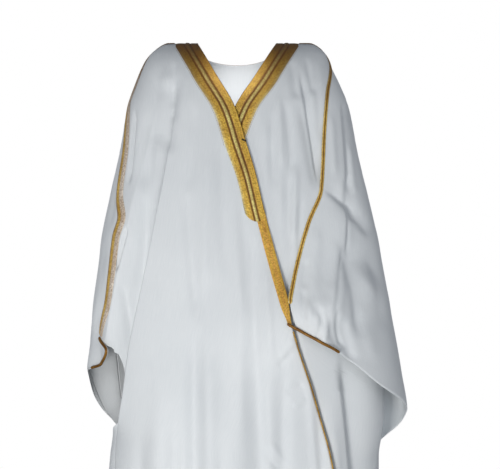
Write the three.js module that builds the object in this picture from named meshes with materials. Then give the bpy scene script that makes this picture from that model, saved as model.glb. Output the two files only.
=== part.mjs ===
// A bisht, the wide open cloak, as it hangs when worn: hollow, one arm down, the other bent with the
// fronts gathered at its hand. Millimetres, +Z up, the front faces -Y and +X is the viewer's right.
// The origin lies midway between the shoulders, at the height where they carry the cloth.
import * as THREE from "three";

const clothWall = 2;
const seamGap = 0.3;
const armSeamGap = 0.5; // under a cord
const backSeamGap = 1; // rows of sleeve and back don't pair up along this seam
const crestHeight = 7; // top of the cloth over the shoulders
const hemHeight = -1360;
const rowStep = 40; // height of a row of cloth below the shoulders
const squareness = 0.85; // under 1 the cross-section is squarer than an ellipse
const bandWidth = 47;
const narrowBandWidth = 21;
const bandThickness = 1.6;
const bandEndHeight = -400;
const handHeight = -620;
const hand = { x: 118, z: -615, reach: 105, pull: 30 }; // where the bent arm gathers the fronts
const armCordRadius = 2.4;
const edgeCordRadius = 1.8;
const cuffRadius = 2.8;
const neckHalfWidth = 89;
const neckDrop = 40; // how far the back of the neck dips below the shoulder line
const rightCuffTop = -640; // end of the arm seam of the hanging arm
const rightCuffEnd = -720; // lowest point of its hand opening
const edgeCordTop = -640; // the narrow band ends above this row, at the hand
const foldStart = { z: -13, span: 60 }; // no folds over the shoulder itself
const foldGrowth = { z: -800, span: 560, by: 0.7 }; // folds deepen towards the hem
const sleeveStart = -20; // height at which a sleeve opens out of the shoulder seam

// Half-widths and depths of the body of the cloth at each height, and how far each sleeve stands
// out past it near its lower edge.
const sections = [
  { z: 7, left: 160, right: 170, front: 0.1, back: 0.1, flareLeft: 0, flareRight: 0 },
  { z: 4, left: 167, right: 177, front: 21, back: 21, flareLeft: 0, flareRight: 0 },
  { z: -4, left: 180, right: 189, front: 38, back: 38, flareLeft: 0, flareRight: 0 },
  { z: -20, left: 196, right: 201, front: 61, back: 61, flareLeft: 0, flareRight: 0 },
  { z: -46, left: 211, right: 212, front: 84, back: 86, flareLeft: 0, flareRight: 0 },
  { z: -88, left: 228, right: 232, front: 106, back: 110, flareLeft: 0, flareRight: 0 },
  { z: -138, left: 245, right: 252, front: 120, back: 127, flareLeft: 0, flareRight: 0 },
  { z: -235, left: 264, right: 271, front: 136, back: 145, flareLeft: 0, flareRight: 0 },
  { z: -330, left: 284, right: 293, front: 147, back: 154, flareLeft: 0, flareRight: 0 },
  { z: -455, left: 306, right: 319, front: 158, back: 158, flareLeft: 1, flareRight: 2 },
  { z: -585, left: 311, right: 331, front: 168, back: 168, flareLeft: 13, flareRight: 13 },
  { z: -680, left: 307, right: 334, front: 174, back: 175, flareLeft: 25, flareRight: 27 },
  { z: -729, left: 303, right: 335, front: 178, back: 178, flareLeft: 33, flareRight: 34 },
  { z: -819, left: 291, right: 336, front: 182, back: 182, flareLeft: 33, flareRight: 46 },
  { z: -860, left: 278, right: 333, front: 184, back: 184, flareLeft: 33, flareRight: 40 },
  { z: -915, left: 284, right: 325, front: 187, back: 188, flareLeft: 33, flareRight: 20 },
  { z: -1100, left: 298, right: 325, front: 194, back: 196, flareLeft: 33, flareRight: 20 },
  { z: -1360, left: 312, right: 338, front: 205, back: 205, flareLeft: 33, flareRight: 20 },
];

// Where each edge and seam runs, as its x at each height.
const frontEdge = [
  { z: 7, x: -89 }, { z: -71, x: -45 }, { z: -143, x: -4 }, { z: -224, x: 22 }, { z: -287, x: 41 },
  { z: -360, x: 58 }, { z: -427, x: 75 }, { z: -495, x: 93 }, { z: -555, x: 109 },
  { z: -615, x: 118 }, { z: -743, x: 157 }, { z: -889, x: 197 }, { z: -1360, x: 258 },
];
const underEdge = [
  { z: 7, x: 89 }, { z: -75, x: 40 }, { z: -143, x: -3 }, { z: -250, x: -40 },
  { z: -400, x: -72 }, { z: -700, x: -96 }, { z: -1360, x: -120 },
];
const rightArmSeam = [
  { z: 7, x: -160 }, { z: -20, x: -196 }, { z: -139, x: -243 }, { z: -233, x: -249 },
  { z: -341, x: -261 }, { z: -383, x: -256 }, { z: -425, x: -268 }, { z: -499, x: -277 },
  { z: -568, x: -286 }, { z: -640, x: -297 }, { z: -680, x: -279 }, { z: -720, x: -301 },
];
const leftArmSeam = [
  { z: 7, x: 170 }, { z: -20, x: 201 }, { z: -50, x: 209 }, { z: -110, x: 199 },
  { z: -195, x: 191 }, { z: -324, x: 183 }, { z: -393, x: 156 }, { z: -468, x: 134 },
  { z: -525, x: 121 }, { z: -568, x: 114 }, { z: -620, x: 127 },
];
// The folded edge of the right front, with the hollow between it and the hanging arm.
const sideFold = [
  { z: 7, x: -148, depth: 0, width: 20 }, { z: -101, x: -130, depth: 2, width: 45 },
  { z: -238, x: -147, depth: 14, width: 55 }, { z: -377, x: -173, depth: 26, width: 60 },
  { z: -556, x: -210, depth: 44, width: 60 }, { z: -668, x: -234, depth: 52, width: 56 },
  { z: -761, x: -247, depth: 44, width: 48 }, { z: -837, x: -260, depth: 26, width: 34 },
  { z: -894, x: -266, depth: 14, width: 30 }, { z: -1360, x: -270, depth: 10, width: 50 },
];
// Outer limit of each front below its arm seam: along the hand opening, then on under the sleeve.
const rightFrontLimit = [
  { z: -680, x: -279 }, { z: -720, x: -274 }, { z: -800, x: -272 }, { z: -840, x: -276 },
  { z: -880, x: -279 },
];
const leftFrontLimit = [{ z: -600, x: 150 }, { z: -640, x: 238 }, { z: -680, x: 300 }, { z: -720, x: 333 }];
// The lower edge of each sleeve, from the arm seam (0) round to the seam at the back (1).
const rightSleeveHem = [
  { at: 0, z: -720 }, { at: 0.4, z: -735 }, { at: 0.7, z: -792 }, { at: 0.86, z: -850 },
  { at: 1, z: -886 },
];
const leftSleeveHem = [
  { at: 0, z: -620 }, { at: 0.2, z: -683 }, { at: 0.4, z: -750 }, { at: 0.6, z: -793 },
  { at: 0.74, z: -822 }, { at: 0.85, z: -868 }, { at: 0.93, z: -912 }, { at: 1, z: -940 },
];
const backSeamTurn = 26; // degrees behind the side at which a sleeve meets the back
// Heights at which each front leaves its arm seam, and below which it reaches the back seam.
const openings = { right: { seamEnd: -685, sideStart: -890 }, left: { seamEnd: -565, sideStart: -745 } };

// Troughs (depth over 0) and ridges (under 0): two ends in x and z, and how far each fades to its
// left and right.
const frontFolds = [
  { x0: -90, z0: -560, x1: -90, z1: -1480, left: 16, right: 20, depth: 11 },
  { x0: -62, z0: -560, x1: -50, z1: -1480, left: 18, right: 22, depth: -9 },
  { x0: 38, z0: -560, x1: 76, z1: -1480, left: 24, right: 14, depth: 12 },
  { x0: 99, z0: -640, x1: 104, z1: -1480, left: 18, right: 12, depth: 9 },
  { x0: -165, z0: -700, x1: -160, z1: -1480, left: 26, right: 26, depth: -10 },
  { x0: -8, z0: -700, x1: 0, z1: -1480, left: 30, right: 30, depth: -8 },
  { x0: 243, z0: -690, x1: 262, z1: -1090, left: 10, right: 24, depth: 16 },
  { x0: 205, z0: -720, x1: 214, z1: -1480, left: 26, right: 22, depth: -9 },
  { x0: 75, z0: -200, x1: 74, z1: -440, left: 14, right: 14, depth: 5 },
  { x0: 112, z0: -250, x1: 114, z1: -560, left: 14, right: 10, depth: 6 },
  { x0: 140, z0: -130, x1: 176, z1: -330, left: 12, right: 16, depth: 6 },
];
const leftSleeveFolds = [
  { x0: 230, z0: -110, x1: 244, z1: -350, left: 14, right: 12, depth: 8 },
  { x0: 192, z0: -305, x1: 300, z1: -430, left: 12, right: 16, depth: 10 },
  { x0: 242, z0: -330, x1: 194, z1: -620, left: 34, right: 16, depth: -10 },
  { x0: 226, z0: -430, x1: 262, z1: -650, left: 14, right: 22, depth: 9 },
  { x0: 124, z0: -625, x1: 300, z1: -500, left: 40, right: 48, depth: -16 },
  { x0: 160, z0: -560, x1: 215, z1: -672, left: 10, right: 12, depth: 7 },
];
const backFolds = [
  { x0: 0, z0: -260, x1: 0, z1: -1480, left: 30, right: 30, depth: 12 },
  { x0: -78, z0: -420, x1: -86, z1: -1480, left: 26, right: 22, depth: -12 },
  { x0: 80, z0: -360, x1: 92, z1: -1480, left: 24, right: 26, depth: -11 },
  { x0: -150, z0: -300, x1: -166, z1: -1480, left: 22, right: 26, depth: 13 },
  { x0: 152, z0: -340, x1: 172, z1: -1480, left: 26, right: 22, depth: 13 },
  { x0: -222, z0: -560, x1: -236, z1: -1480, left: 22, right: 22, depth: -11 },
  { x0: 226, z0: -560, x1: 244, z1: -1480, left: 22, right: 22, depth: -10 },
  { x0: -160, z0: -120, x1: -40, z1: -300, left: 16, right: 22, depth: 7 },
  { x0: 160, z0: -120, x1: 50, z1: -290, left: 22, right: 16, depth: 7 },
];

const clamp = (v) => Math.min(1, Math.max(0, v));
const smooth = (v) => clamp(v) ** 2 * (3 - 2 * clamp(v));
const mix = (a, b, t) => a + (b - a) * t;

// A table's column as a smooth function of its first column that never overshoots a row.
function smoothColumn(rows, by, key) {
  const at = rows.map((row) => row[by]);
  const turned = at[0] > at[1] ? -1 : 1;
  const p = at.map((v) => v * turned);
  const v = rows.map((row) => row[key]);
  const slope = v.slice(1).map((next, i) => (next - v[i]) / (p[i + 1] - p[i]));
  const tangent = v.map((_, i) => {
    if (i === 0) return slope[0];
    if (i === v.length - 1) return slope[i - 1];
    const product = slope[i - 1] * slope[i];
    return product <= 0 ? 0 : (2 * product) / (slope[i - 1] + slope[i]);
  });
  return (where) => {
    const q = Math.min(p[p.length - 1], Math.max(p[0], where * turned));
    let i = 0;
    while (i < p.length - 2 && q > p[i + 1]) i += 1;
    const h = p[i + 1] - p[i];
    const t = (q - p[i]) / h;
    const rise = (3 - 2 * t) * t * t;
    const bend = h * t * (1 - t) * (tangent[i] * (1 - t) - tangent[i + 1] * t);
    return mix(v[i], v[i + 1], rise) + bend;
  };
}

const foldDepthGrowth = (z) => 1 + foldGrowth.by * smooth((foldGrowth.z - z) / foldGrowth.span);
const section = Object.fromEntries(
  ["left", "right", "front", "back", "flareLeft", "flareRight"].map((key) => [
    key,
    smoothColumn(sections, "z", key),
  ]),
);
const xOf = (rows) => smoothColumn(rows, "z", "x");
const frontEdgeX = xOf(frontEdge);
const underEdgeX = xOf(underEdge);
const leftArmSeamX = xOf(leftArmSeam);
const rightArmSeamX = xOf(rightArmSeam);
const rightLimitX = xOf(rightFrontLimit);
const leftLimitX = xOf(leftFrontLimit);
const sideFoldX = xOf(sideFold);
const sideFoldDepth = smoothColumn(sideFold, "z", "depth");
const sideFoldWidth = smoothColumn(sideFold, "z", "width");

const halfWidth = (side, z) => (side < 0 ? section.left(z) : section.right(z));

// The angle round the body, 0 at the front and positive to the right, of a point x at a height.
function angleAt(x, z) {
  const share = clamp(Math.abs(x) / halfWidth(x, z));
  return Math.sign(x) * Math.asin(share ** (1 / squareness));
}

// How deep a list of folds presses the cloth at (x, z).
function foldDepth(folds, x, z) {
  let depth = 0;
  for (const fold of folds) {
    const alongX = fold.x1 - fold.x0;
    const alongZ = fold.z1 - fold.z0;
    const length = Math.hypot(alongX, alongZ);
    const run = ((x - fold.x0) * alongX + (z - fold.z0) * alongZ) / length ** 2;
    const across = ((x - fold.x0) * alongZ - (z - fold.z0) * alongX) / length;
    const toRight = across * Math.sign(alongZ || 1) > 0;
    const reach = toRight ? fold.right : fold.left;
    const fade = smooth(run / 0.25) * smooth((1 - run) / 0.2);
    depth += fold.depth * fade * Math.exp(-((across / reach) ** 2));
  }
  return depth * foldDepthGrowth(z);
}

// The hollow beside the right front's folded edge: steep at the edge, then easing out to the arm.
function sideHollow(x, z) {
  const share = (sideFoldX(z) - x) / sideFoldWidth(z);
  return share <= 0 || share >= 1 ? 0 : sideFoldDepth(z) * Math.sin(Math.PI * share ** 0.6);
}

const handPull = (x, z) =>
  hand.pull * Math.exp(-(((x - hand.x) / hand.reach) ** 2) - ((z - hand.z) / hand.reach) ** 2);

// A point of the cloth: a squared ellipse at its height, pressed in by the folds as far as its layer
// follows them, and by what the layer itself adds. Angles go from 0 at the front past 90 degrees at
// the side to 180 at the back.
function clothPoint(angle, z, layer) {
  const sin = Math.sin(angle);
  const cos = Math.cos(angle);
  const across = halfWidth(sin, z);
  const deep = cos > 0 ? section.front(z) : section.back(z);
  const x = Math.sign(sin) * across * Math.abs(sin) ** squareness;
  const y = -Math.sign(cos) * deep * Math.abs(cos) ** squareness;
  const facing = new THREE.Vector2(
    (Math.sign(sin) * Math.abs(sin) ** (2 - squareness)) / across,
    (-Math.sign(cos) * Math.abs(cos) ** (2 - squareness)) / Math.max(deep, 1),
  ).normalize();
  const isFront = cos > 0;
  const settled = smooth((foldStart.z - z) / foldStart.span);
  const folds = isFront ? foldDepth(frontFolds, x, z) + sideHollow(x, z) : foldDepth(backFolds, x, z);
  const sideFade = smooth((1 - Math.abs(sin)) / 0.06);
  const inset = settled * (folds * sideFade * layer.follow(x, z) + layer.inset(x, z, angle));
  const forward = isFront ? handPull(x, z) * sideFade : 0;
  const split = (isFront ? -1 : 1) * (seamGap / 2);
  return new THREE.Vector3(x - facing.x * inset, y - facing.y * inset - forward + split, z);
}

// The outward direction of a layer of cloth, from two small steps along it.
function clothNormal(angle, z, layer) {
  const turn = 0.006;
  const drop = 1.5;
  const round = clothPoint(angle + turn, z, layer).sub(clothPoint(angle - turn, z, layer));
  const up = clothPoint(angle, z + drop, layer).sub(clothPoint(angle, z - drop, layer));
  return round.cross(up).normalize();
}

// Heights of the rows: close together over the shoulder, then even.
const rowHeights = [crestHeight, 4, -4, sleeveStart, -46];
for (let z = -80; z >= hemHeight; z -= rowStep) rowHeights.push(z);

// A closed wall from rows of {point, normal}: its outer face is lifted off those points by `lift`.
function wall(rows, thickness, lift = 0) {
  const across = rows[0].length;
  const outer = rows.flat().map((s) => s.point.clone().addScaledVector(s.normal, lift + thickness));
  const inner = rows.flat().map((s) => s.point.clone().addScaledVector(s.normal, lift));
  const points = [...outer, ...inner];
  const faces = [];
  const quad = (a, b, c, d) => faces.push(a, b, c, a, c, d);
  const layerSize = outer.length;
  for (let r = 0; r < rows.length - 1; r += 1) {
    for (let c = 0; c < across - 1; c += 1) {
      const a = r * across + c;
      quad(a, a + across, a + across + 1, a + 1);
      quad(a + layerSize, a + layerSize + 1, a + layerSize + across + 1, a + layerSize + across);
    }
  }
  const rim = [];
  for (let c = 0; c < across - 1; c += 1) rim.push(c);
  for (let r = 0; r < rows.length - 1; r += 1) rim.push(r * across + across - 1);
  for (let c = across - 1; c > 0; c -= 1) rim.push((rows.length - 1) * across + c);
  for (let r = rows.length - 1; r > 0; r -= 1) rim.push(r * across);
  rim.forEach((a, i) => {
    const b = rim[(i + 1) % rim.length];
    quad(a, b, b + layerSize, a + layerSize);
  });
  const geometry = new THREE.BufferGeometry();
  geometry.setAttribute("position", new THREE.Float32BufferAttribute(points.flatMap((p) => p.toArray()), 3));
  geometry.setIndex(faces);
  geometry.computeVertexNormals();
  return geometry;
}

// Rows of a panel from a function (row, column) => {angle, z}.
function panelRows(rowCount, columnCount, place, layer) {
  const rows = [];
  for (let r = 0; r < rowCount; r += 1) {
    const row = [];
    for (let c = 0; c < columnCount; c += 1) {
      const { angle, z } = place(r, c);
      const point = clothPoint(angle, z, layer);
      const normal = clothNormal(angle, z, layer);
      if (z >= crestHeight - 0.01) normal.setY(0).normalize();
      row.push({ point, normal });
    }
    rows.push(row);
  }
  return rows;
}

// A panel lies with its outer face on the cloth's own surface, so its wall is built inwards.
const panelWall = (rows) => wall(rows, clothWall, -clothWall);

// The wedge by which a sleeve opens between front and back, just below the shoulder.
const degrees = Math.PI / 180;
const frontWedge = (z) => mix(0, 6 * degrees, clamp((sleeveStart + 8 - z) / 34));
const backSeam = (z) => 90 * degrees + mix(0, backSeamTurn * degrees, clamp((sleeveStart + 8 - z) / 140));

function armSeamAngle(seamX, z) {
  const x = seamX(z);
  const angle = Math.abs(angleAt(x, z));
  return Math.min(angle, 90 * degrees - frontWedge(z));
}

const bandColumns = [0, narrowBandWidth / 2, narrowBandWidth, 34, bandWidth];

// Widths along a slanted edge are measured level, and the cloth is drawn together at the hand.
const slant = (edgeX, z) => Math.hypot(1, (edgeX(z + 10) - edgeX(z - 10)) / 20);
const gathered = { by: 0.6, reach: 40 };
const bandSpread = (z) =>
  slant(frontEdgeX, z) * (1 - gathered.by * Math.exp(-(((z - handHeight) / gathered.reach) ** 2)));

// Outer limit of a front: along the arm seam, then under the sleeve and out to the back seam.
function frontLimitAngle(side, z) {
  const { seamEnd, sideStart } = side < 0 ? openings.right : openings.left;
  const limitX = side < 0 ? rightLimitX : leftLimitX;
  if (z > seamEnd) return armSeamAngle(side < 0 ? rightArmSeamX : leftArmSeamX, z);
  if (z < sideStart) return backSeam(z);
  return Math.abs(angleAt(limitX(z), z));
}

const plainLayer = { inset: () => 0, follow: () => 1 };

// The turn round the body that moves a point by half a seam's gap.
function gapTurn(angle, z, gap) {
  const turn = 0.01;
  const step = clothPoint(angle + turn, z, plainLayer).distanceTo(clothPoint(angle - turn, z, plainLayer));
  return (gap / 2) * ((2 * turn) / step);
}

// Right front: band columns, then the flat to the folded edge, then the hollow and the arm.
const chestColumns = 7;
const hollowColumns = 8;
const rightFrontRows = panelRows(
  rowHeights.length,
  bandColumns.length + chestColumns + hollowColumns,
  (r, c) => {
    const z = rowHeights[r];
    const edge = frontEdgeX(z);
    const bandEnd = edge - bandWidth * bandSpread(z);
    const seam = frontLimitAngle(-1, z);
    const limit = gapTurn(-seam, z, armSeamGap) - seam;
    if (c < bandColumns.length) {
      return { angle: angleAt(edge - bandColumns[c] * bandSpread(z), z), z };
    }
    const foldAngle = angleAt(Math.min(sideFoldX(z), bandEnd - 6), z);
    const n = c - bandColumns.length + 1;
    if (n <= chestColumns) return { angle: mix(angleAt(bandEnd, z), foldAngle, n / chestColumns), z };
    return { angle: mix(foldAngle, limit, ((n - chestColumns) / hollowColumns) ** 1.25), z };
  },
  plainLayer,
);

// The left front lies lower, and without folds, where the right front or the sleeve covers it.
const underStep = 7;
const underStepLow = 19;
const underFront = (x, z) => smooth((frontEdgeX(z) + 50 - x) / 36) * smooth((-60 - z) / 60);
const underSleeve = (x, z) =>
  smooth((-500 - z) / 60) * smooth((x - leftArmSeamX(Math.max(z, handHeight)) + 30) / 30);
const leftFrontLayer = {
  inset: (x, z) => Math.max(
    underFront(x, z) * mix(underStep, underStepLow, smooth((-430 - z) / 150)),
    underSleeve(x, z) * underStep,
  ),
  follow: (x, z) => 1 - underFront(x, z),
};
const leftFrontColumns = 13;
const leftFrontRows = panelRows(
  rowHeights.length,
  bandColumns.length + leftFrontColumns,
  (r, c) => {
    const z = rowHeights[r];
    const edge = underEdgeX(z);
    const spread = slant(underEdgeX, z);
    if (c < bandColumns.length) return { angle: angleAt(edge + bandColumns[c] * spread, z), z };
    const bandAngle = angleAt(edge + bandWidth * spread, z);
    const seam = frontLimitAngle(1, z);
    const limit = seam - gapTurn(seam, z, armSeamGap);
    return { angle: mix(bandAngle, limit, (c - bandColumns.length + 1) / leftFrontColumns), z };
  },
  leftFrontLayer,
);

// A sleeve stands out past the body near its lower edge, from a little way off the arm seam.
const flareTurn = 12 * degrees;
const armSeamX = (side) => (side < 0 ? rightArmSeamX : leftArmSeamX);
function sleeveLayer(side, folds) {
  const seamX = armSeamX(side);
  const seamEnd = side < 0 ? rightCuffTop : handHeight;
  const flare = side < 0 ? section.flareLeft : section.flareRight;
  const inset = (x, z, angle) => {
    const isFront = Math.abs(angle) < Math.PI / 2;
    const away = Math.abs(angle) - armSeamAngle(seamX, Math.max(z, seamEnd));
    const atBack = smooth((backSeam(z) - Math.abs(angle)) / (20 * degrees));
    return (isFront ? foldDepth(folds, x, z) : 0) - flare(z) * smooth(away / flareTurn) * atBack;
  };
  return { inset, follow: () => 0 };
}

// Sleeve rows keep the heights of the front's rows along the arm seam, and below the shoulder
// stretch towards the sleeve's own lower edge further round.
function sleeveRows(side, heights, hemRows, columnCount, folds) {
  const seamX = armSeamX(side);
  const hemAt = smoothColumn(hemRows, "at", "z");
  const levelAbove = -200;
  return panelRows(
    heights.length,
    columnCount + 1,
    (r, c) => {
      const share = c / columnCount;
      const stretch = (hemAt(share) - levelAbove) / (hemAt(0) - levelAbove);
      const z = heights[r] > levelAbove ? heights[r] : levelAbove + (heights[r] - levelAbove) * stretch;
      const seam = armSeamAngle(seamX, heights[r]);
      const start = seam + gapTurn(side * seam, heights[r], armSeamGap);
      const end = backSeam(z) - gapTurn(side * backSeam(z), z, backSeamGap);
      return { angle: side * mix(start, end, share), z };
    },
    sleeveLayer(side, folds),
  );
}
const sleeveHeights = (end) => [...rowHeights.filter((z) => z <= sleeveStart && z > end + 8), end];
const rightSleeveColumns = 9;
const leftSleeveColumns = 13;
const rightSleeveRows = sleeveRows(-1, sleeveHeights(rightCuffEnd), rightSleeveHem, rightSleeveColumns, []);
const leftSleeveRows =
  sleeveRows(1, sleeveHeights(handHeight), leftSleeveHem, leftSleeveColumns, leftSleeveFolds);

// Back: its first rows follow the neck band round the dip of the neck. A column is placed by how
// far it is from the middle (0) to the side seam (1), and by its x where it crosses the shoulders.
const neckBandReach = neckHalfWidth + bandWidth + 3;
const neckBandDrop = 0.85 * bandWidth; // the band slants, so it drops by less than its width
const neckRoundness = 0.6;
const backColumns = 20;
const neckRows = 3;
const middleCrowding = 0.9; // under 1 the columns stand closer near the side seams
const columnAway = (c) => Math.abs((c / backColumns) * 2 - 1) ** middleCrowding;
const columnSide = (c) => (c < backColumns / 2 ? 1 : -1);
function columnCrestX(c) {
  const turn = (columnAway(c) * Math.PI) / 2;
  return halfWidth(columnSide(c), crestHeight) * Math.sin(turn) ** squareness;
}
function backTop(x) {
  const share = clamp(1 - (x / neckHalfWidth) ** 2);
  return crestHeight - neckDrop * share ** neckRoundness;
}
function backBandEnd(x) {
  const share = clamp(1 - (x / neckBandReach) ** 2);
  return Math.min(sleeveStart, crestHeight - (neckDrop + neckBandDrop) * share ** neckRoundness);
}
const backRows = panelRows(
  rowHeights.length,
  backColumns + 1,
  (r, c) => {
    const side = columnSide(c);
    const x = columnCrestX(c);
    const top = backTop(x);
    const bandEnd = backBandEnd(x);
    const level = rowHeights[r];
    const z = r <= neckRows
      ? mix(top, bandEnd, (crestHeight - level) / (crestHeight - sleeveStart))
      : mix(bandEnd, hemHeight, (sleeveStart - level) / (sleeveStart - hemHeight));
    const limit = backSeam(z) + gapTurn(side * backSeam(z), z, backSeamGap);
    return { angle: side * (Math.PI - (Math.PI - limit) * columnAway(c)), z };
  },
  plainLayer,
);

const rowOf = (height) => rowHeights.indexOf(height);

// A band laid on part of a panel: the panel's own points, moved out.
function bandOn(rows, r0, r1, c0, c1) {
  const part = rows.slice(r0, r1 + 1).map((row) => row.slice(c0, c1 + 1));
  return wall(part, bandThickness, seamGap);
}

const between = (a, b, share) => ({
  point: a.point.clone().lerp(b.point, share),
  normal: a.normal.clone().lerp(b.normal, share).normalize(),
});

// A panel whose row r0 starts a hair lower, to part a band there from the band above.
const startBelow = (rows, r0) =>
  rows.map((row, r) => (r === r0 ? row.map((s, c) => between(s, rows[r0 + 1][c], 1 / rowStep)) : row));

// Where the middle of a cord runs, outside the cloth.
const cordClear = 0.95;
const onCloth = (samples, radius) =>
  samples.map((s) => s.point.clone().addScaledVector(s.normal, radius + cordClear));

// A cord through points, held close to the straight runs between them as the cloth's edge is.
function cordAlong(points, radius, steps) {
  const held = points.flatMap((p, i) =>
    i ? [points[i - 1].clone().lerp(p, 0.34), points[i - 1].clone().lerp(p, 0.66), p] : [p],
  );
  const outline = new THREE.Shape();
  const sides = 6;
  for (let i = 0; i < sides; i += 1) {
    const turn = (i / sides) * 2 * Math.PI;
    const corner = [radius * Math.cos(turn), radius * Math.sin(turn)];
    if (i) outline.lineTo(...corner);
    else outline.moveTo(...corner);
  }
  outline.closePath();
  const path = new THREE.CatmullRomCurve3(held, false, "centripetal");
  return new THREE.ExtrudeGeometry(outline, { steps, extrudePath: path });
}

// Samples along an arm seam: out along the shoulder from the neck band, then down the sleeve.
function armSeamSamples(side, sleevePanel, end) {
  const shoulder = [neckBandReach + 19, halfWidth(side, crestHeight) + 1].map((x) => ({
    point: new THREE.Vector3(side * x, 0, crestHeight),
    normal: new THREE.Vector3(0, 0, 1),
  }));
  const tip = [4, -4].map((z) => ({
    point: clothPoint(side * (Math.PI / 2), z, plainLayer),
    normal: clothNormal(side * (Math.PI / 2), z, plainLayer),
  }));
  const arm = sleevePanel.map((row) => row[0]).filter((s) => s.point.z >= end);
  return [...shoulder, ...tip, ...arm];
}

const lastOf = (row) => row[row.length - 1];
const neckColumns = [...Array(backColumns + 1).keys()].filter((c) => columnCrestX(c) < neckBandReach);
const firstBelowHand = rowOf(edgeCordTop);
const rightCuff = rightSleeveRows.slice(-3).map((row) => row[0]);
rightCuff[0] = between(rightCuff[0], rightCuff[1], 0.25);
const leftCuffColumns = 5;
const leftCuff = lastOf(leftSleeveRows).slice(0, leftCuffColumns + 1);

const cloth = () => new THREE.MeshStandardMaterial({ color: 0xdde2e5, roughness: 0.85, metalness: 0 });
const zari = () => new THREE.MeshStandardMaterial({ color: 0xc79a34, roughness: 0.4, metalness: 0.6 });
const cordGold = () => new THREE.MeshStandardMaterial({ color: 0x966e32, roughness: 0.5, metalness: 0.4 });

const bisht = new THREE.Group();
function add(name, geometry, material) {
  const mesh = new THREE.Mesh(geometry, material);
  mesh.name = name;
  bisht.add(mesh);
}
const reversed = (rows) => rows.map((row) => [...row].reverse());
const rightFrontPanel = reversed(rightFrontRows);
const lastBandColumn = bandColumns.length - 1;
const lastNarrowColumn = bandColumns.indexOf(narrowBandWidth);
const lastRightColumn = rightFrontPanel[0].length - 1;

add("front_right", panelWall(rightFrontPanel), cloth());
add("front_left", panelWall(leftFrontRows), cloth());
add("sleeve_right", panelWall(reversed(rightSleeveRows)), cloth());
add("sleeve_left", panelWall(leftSleeveRows), cloth());
add("back", panelWall(backRows), cloth());

const bandEnd = rowOf(bandEndHeight);
add(
  "band_right",
  bandOn(rightFrontPanel, 0, bandEnd, lastRightColumn - lastBandColumn, lastRightColumn),
  zari(),
);
add("band_left", bandOn(leftFrontRows, 0, bandEnd, 0, lastBandColumn), zari());
add("band_neck", bandOn(backRows, 0, neckRows, neckColumns[0], lastOf(neckColumns)), zari());
add(
  "narrow_band",
  bandOn(
    startBelow(rightFrontPanel, bandEnd),
    bandEnd,
    firstBelowHand - 1,
    lastRightColumn - lastNarrowColumn,
    lastRightColumn,
  ),
  zari(),
);
const frontEdgeSamples = rightFrontRows.slice(firstBelowHand).map((row) => row[0]);
add("edge_cord", cordAlong(onCloth(frontEdgeSamples, edgeCordRadius), edgeCordRadius, 48), zari());
const armCords = [
  ["arm_cord_right", armSeamSamples(-1, rightSleeveRows, rightCuffTop)],
  ["arm_cord_left", armSeamSamples(1, leftSleeveRows, handHeight)],
];
for (const [name, samples] of armCords) {
  add(name, cordAlong(onCloth(samples, armCordRadius), armCordRadius, 60), cordGold());
}
add("cuff_right", cordAlong(onCloth(rightCuff, cuffRadius), cuffRadius, 12), cordGold());
add("cuff_left", cordAlong(onCloth(leftCuff.slice(1), cuffRadius), cuffRadius, 14), cordGold());

export default bisht;
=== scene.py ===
import math

import bpy
import numpy as np
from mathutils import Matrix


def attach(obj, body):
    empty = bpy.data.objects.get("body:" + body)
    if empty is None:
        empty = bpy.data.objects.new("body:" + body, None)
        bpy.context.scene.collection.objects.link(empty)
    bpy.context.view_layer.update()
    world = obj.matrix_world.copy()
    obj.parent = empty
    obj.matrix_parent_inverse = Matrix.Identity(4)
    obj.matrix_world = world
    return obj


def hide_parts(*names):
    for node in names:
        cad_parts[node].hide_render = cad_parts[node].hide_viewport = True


# A bisht as it hangs when worn: five panels of fine white cloth, gold bands along the fronts and
# the neck, cords on the arm seams and trims at the hand openings. Tables are in millimetres, and
# points become metres where a mesh is made. -Y is the front, +X the viewer's right.

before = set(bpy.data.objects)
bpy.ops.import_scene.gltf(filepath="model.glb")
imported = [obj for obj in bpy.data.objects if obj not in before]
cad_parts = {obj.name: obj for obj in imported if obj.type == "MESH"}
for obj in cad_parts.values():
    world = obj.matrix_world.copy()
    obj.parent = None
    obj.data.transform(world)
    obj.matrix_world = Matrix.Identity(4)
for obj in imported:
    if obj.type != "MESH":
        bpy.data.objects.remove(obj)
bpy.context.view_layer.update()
scene = bpy.context.scene
mm = 0.001

# ---- camera: level, at chest height, far enough for nearly parallel sides

view = {"x": 0.02925, "distance": 3.2, "height": -0.4216, "lens": 102.4, "sensor": 36.0}


def addObject(name, data):
    made = bpy.data.objects.new(name, data)
    scene.collection.objects.link(made)
    return made


def makeCamera():
    data = bpy.data.cameras.new("camera")
    data.lens = view["lens"]
    data.sensor_width = view["sensor"]
    data.clip_end = 60.0
    camera = addObject("camera", data)
    camera.location = (view["x"], -view["distance"], view["height"])
    camera.rotation_euler = (math.pi / 2, 0, 0)
    scene.camera = camera


makeCamera()

# ---- the cut of the cloth

cut = {
    "crest": 7, "hem": -1360,  # top of the cloth over the shoulders, and its lowest edge
    "sleeveStart": -20, "stretchTop": -200, "squareness": 0.85,
    "wall": 1.3, "cell": 5.0,  # thickness, and the size of a face
    "bandWidth": 47, "narrowWidth": 21, "bandEnd": -394, "underEnd": -400, "hand": -620,
    "neckHalf": 89, "neckDrop": 40, "neckRound": 0.6, "neckSpread": 0.85,
    "seamGap": 0.3, "armSeamGap": 0.5, "backSeamGap": 1.0,
    "wedge": 6, "backTurn": 26, "flareTurn": 12,  # degrees
    "wedgeReach": 34, "backReach": 140, "openingReach": 40,
    "foldGrowth": 0.7, "growthTop": -800, "growthReach": 560,
}
handPull = {"x": 118, "z": -615, "reach": 105, "pull": 30, "gather": 0.6, "gatherReach": 40}

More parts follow.
